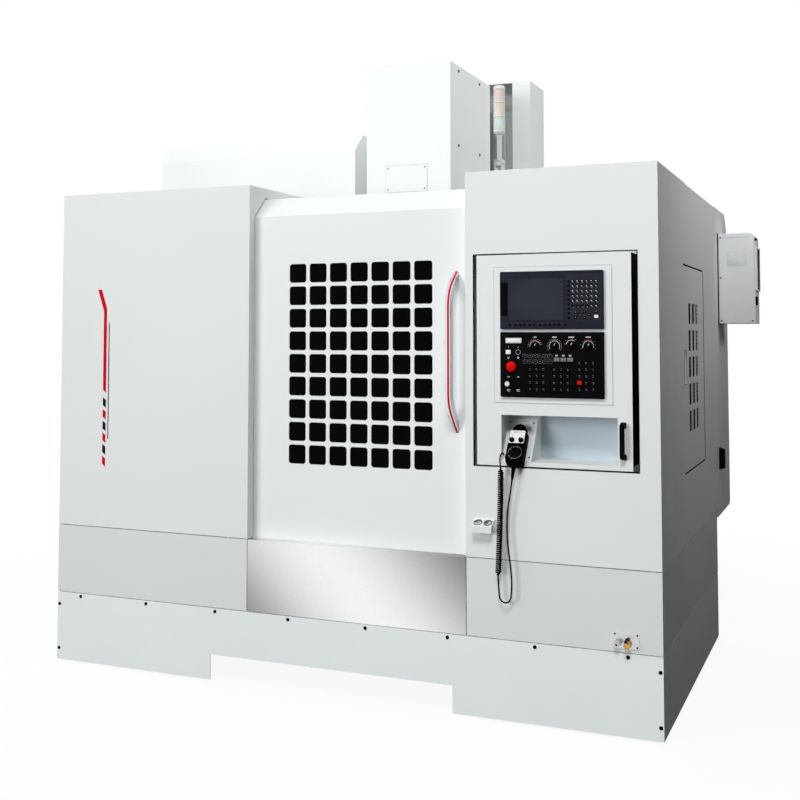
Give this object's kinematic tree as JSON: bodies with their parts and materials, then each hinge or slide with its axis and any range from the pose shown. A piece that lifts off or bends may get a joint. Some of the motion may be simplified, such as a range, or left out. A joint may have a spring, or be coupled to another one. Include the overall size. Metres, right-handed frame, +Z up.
{
  "type": "vertical machining centre",
  "caption": "Enclosed vertical milling machine with a sliding window door, swing-out control console, tool magazine cover and rear electrical cabinet.",
  "frame": {"origin": "on the floor under the middle of the enclosure's 2700 x 2100 mm plan", "axes": "+X to the operator's right, -Y towards the operator (front), +Z up"},
  "size_m": [3.053, 2.194, 2.835],
  "materials": {
    "white_paint": "satin powder coat",
    "grey_paint": "satin powder coat",
    "cast_paint": "painted casting",
    "machined_iron": "ground",
    "stainless": "brushed",
    "steel": "turned",
    "chrome": "polished",
    "black_paint": "textured black",
    "black_plastic": "matte",
    "panel_plastic": "matte",
    "red_plastic": "gloss",
    "lamp_plastic": "translucent stack",
    "glass": "laminated, dark",
    "screen_glass": "matte screen",
    "rubber": "matte",
    "brass": "machined"
  },
  "bodies": {
    "machine": {"bed": "cast_paint", "levelling_feet": "steel", "column": "cast_paint", "base_skirt": "grey_paint", "skirt_screws": "black_paint", "lower_band_left": "grey_paint", "lower_band_right": "grey_paint", "kick_panel": "stainless", "left_cover": "white_paint", "right_cover": "white_paint", "left_side_panel": "white_paint", "right_side_panel": "white_paint", "door_rail": "steel", "gun_holder": "white_paint", "service_plate": "brass", "electrical_cabinet": "white_paint", "cabinet_handle": "black_plastic", "cabinet_cooler": "white_paint", "magazine_cover": "white_paint", "magazine_frame": "cast_paint", "column_cover": "white_paint", "lamp_bracket": "steel"},
    "access_door": {"access_door": "white_paint"},
    "sliding_door": {"main_door": "white_paint", "window_glass": "glass", "door_handle": "chrome"},
    "console": {"console": "white_paint", "console_handle": "black_plastic", "display_unit": "panel_plastic", "display_screen": "screen_glass", "operator_panel": "panel_plastic", "handwheel_body": "black_plastic", "handwheel_gland": "rubber", "cord_head": "rubber", "curly_cord": "rubber", "cord_tail": "rubber"},
    "stop_button": {"stop_button": "red_plastic"},
    "mode_selector": {"mode_selector": "black_plastic"},
    "feed_selector": {"feed_selector": "black_plastic"},
    "rapid_selector": {"rapid_selector": "black_plastic"},
    "spindle_selector": {"spindle_selector": "black_plastic"},
    "handwheel_dial": {"handwheel_dial": "black_plastic"},
    "axis_knob": {"axis_knob": "black_plastic"},
    "step_knob": {"step_knob": "black_plastic"},
    "valve_lever": {"valve_lever": "black_paint"},
    "cabinet_door": {"cabinet_door": "white_paint"},
    "main_switch": {"main_switch": "red_plastic"},
    "saddle": {"saddle": "cast_paint"},
    "table": {"table": "machined_iron"},
    "x_screw": {"x_screw": "steel"},
    "y_screw": {"y_screw": "steel"},
    "z_screw": {"z_screw": "steel"},
    "head": {"head_casting": "cast_paint", "head_cover": "white_paint", "spindle_motor": "black_paint"},
    "spindle": {"spindle": "steel"},
    "magazine_drum": {"magazine_drum": "black_paint"},
    "arm_shaft": {"arm_shaft": "steel"},
    "tool_arm": {"tool_arm": "steel"},
    "signal_lamp": {"signal_lamp": "lamp_plastic"}
  },
  "joints": [
    {"name": "door_slide", "type": "slide", "parent": "machine", "child": "sliding_door", "axis": [1, 0, 0], "range_m": [-0.9, 0]},
    {"name": "access_door_hinge", "type": "hinge", "parent": "machine", "child": "access_door", "pos_m": [1.3505, 0.1155, 1.326], "axis": [0, 0, 1], "range_deg": [0, 100]},
    {"name": "console_swing", "type": "hinge", "parent": "machine", "child": "console", "pos_m": [0.644, -1.051, 1.369], "axis": [0, 0, -1], "range_deg": [0, 85]},
    {"name": "stop_push", "type": "slide", "parent": "console", "child": "stop_button", "axis": [0, 1, 0], "range_m": [0, 0.005], "stiffness_N_per_m": 1500},
    {"name": "mode_turn", "type": "hinge", "parent": "console", "child": "mode_selector", "pos_m": [0.887, -1.0665, 1.422], "axis": [0, -1, 0], "range_deg": [-120, 120]},
    {"name": "feed_turn", "type": "hinge", "parent": "console", "child": "feed_selector", "pos_m": [0.962, -1.0665, 1.422], "axis": [0, -1, 0], "range_deg": [-135, 135]},
    {"name": "rapid_turn", "type": "hinge", "parent": "console", "child": "rapid_selector", "pos_m": [1.027, -1.0665, 1.425], "axis": [0, -1, 0], "range_deg": [-60, 60]},
    {"name": "spindle_override_turn", "type": "hinge", "parent": "console", "child": "spindle_selector", "pos_m": [1.091, -1.0665, 1.422], "axis": [0, -1, 0], "range_deg": [-120, 120]},
    {"name": "handwheel_spin", "type": "hinge", "parent": "console", "child": "handwheel_dial", "pos_m": [0.808, -1.07069, 1.01564], "axis": [0, -0.8262, 0.5633], "continuous": true},
    {"name": "axis_knob_turn", "type": "hinge", "parent": "console", "child": "axis_knob", "pos_m": [0.786, -1.03886, 1.06232], "axis": [0, -0.8262, 0.5633], "range_deg": [-90, 90]},
    {"name": "step_knob_turn", "type": "hinge", "parent": "console", "child": "step_knob", "pos_m": [0.822, -1.03886, 1.06232], "axis": [0, -0.8262, 0.5633], "range_deg": [-60, 60]},
    {"name": "valve_turn", "type": "hinge", "parent": "machine", "child": "valve_lever", "pos_m": [1.226, -1.072, 0.365], "axis": [0, 0, 1], "range_deg": [0, 90]},
    {"name": "cabinet_door_hinge", "type": "hinge", "parent": "machine", "child": "cabinet_door", "pos_m": [1.333, 1.0505, 1.32], "axis": [0, 0, -1], "range_deg": [0, 110]},
    {"name": "main_switch_turn", "type": "hinge", "parent": "cabinet_door", "child": "main_switch", "pos_m": [0.669, 1.05, 1.42], "axis": [0, 1, 0], "range_deg": [0, 90]},
    {"name": "y_axis", "type": "slide", "parent": "machine", "child": "saddle", "axis": [0, 1, 0], "range_m": [-0.25, 0.25]},
    {"name": "x_axis", "type": "slide", "parent": "saddle", "child": "table", "axis": [1, 0, 0], "range_m": [-0.5, 0.5]},
    {"name": "z_axis", "type": "slide", "parent": "machine", "child": "head", "axis": [0, 0, 1], "range_m": [-0.6, 0]},
    {"name": "x_screw_turn", "type": "hinge", "parent": "saddle", "child": "x_screw", "pos_m": [0, 0.03, 0.83], "axis": [1, 0, 0], "range_deg": [-15001, 15001]},
    {"name": "y_screw_turn", "type": "hinge", "parent": "machine", "child": "y_screw", "pos_m": [0, 0, 0.622], "axis": [0, 1, 0], "range_deg": [-7501, 7501]},
    {"name": "z_screw_turn", "type": "hinge", "parent": "machine", "child": "z_screw", "pos_m": [0, 0.58, 1.8], "axis": [0, 0, 1], "range_deg": [-18001, 1]},
    {"name": "spindle_spin", "type": "hinge", "parent": "head", "child": "spindle", "pos_m": [0, 0.03, 1.8], "axis": [0, 0, 1], "continuous": true},
    {"name": "drum_spin", "type": "hinge", "parent": "machine", "child": "magazine_drum", "pos_m": [-0.926, 0.185, 2.08], "axis": [0, 1, 0], "continuous": true},
    {"name": "arm_lift", "type": "slide", "parent": "machine", "child": "arm_shaft", "axis": [0, 0, 1], "range_m": [-0.12, 0]},
    {"name": "arm_swing", "type": "hinge", "parent": "arm_shaft", "child": "tool_arm", "pos_m": [-0.463, 0.03, 1.58], "axis": [0, 0, 1], "range_deg": [0, 270]},
    {"name": "lamp_fold", "type": "hinge", "parent": "machine", "child": "signal_lamp", "pos_m": [0.665, -0.8, 2.166], "axis": [-1, 0, 0], "range_deg": [0, 90]}
  ],
  "couplings": [
    {"joint": "x_screw_turn", "follows": "x_axis", "rad_per_m": 523.6},
    {"joint": "y_screw_turn", "follows": "y_axis", "rad_per_m": 523.6},
    {"joint": "z_screw_turn", "follows": "z_axis", "rad_per_m": 523.6}
  ]
}
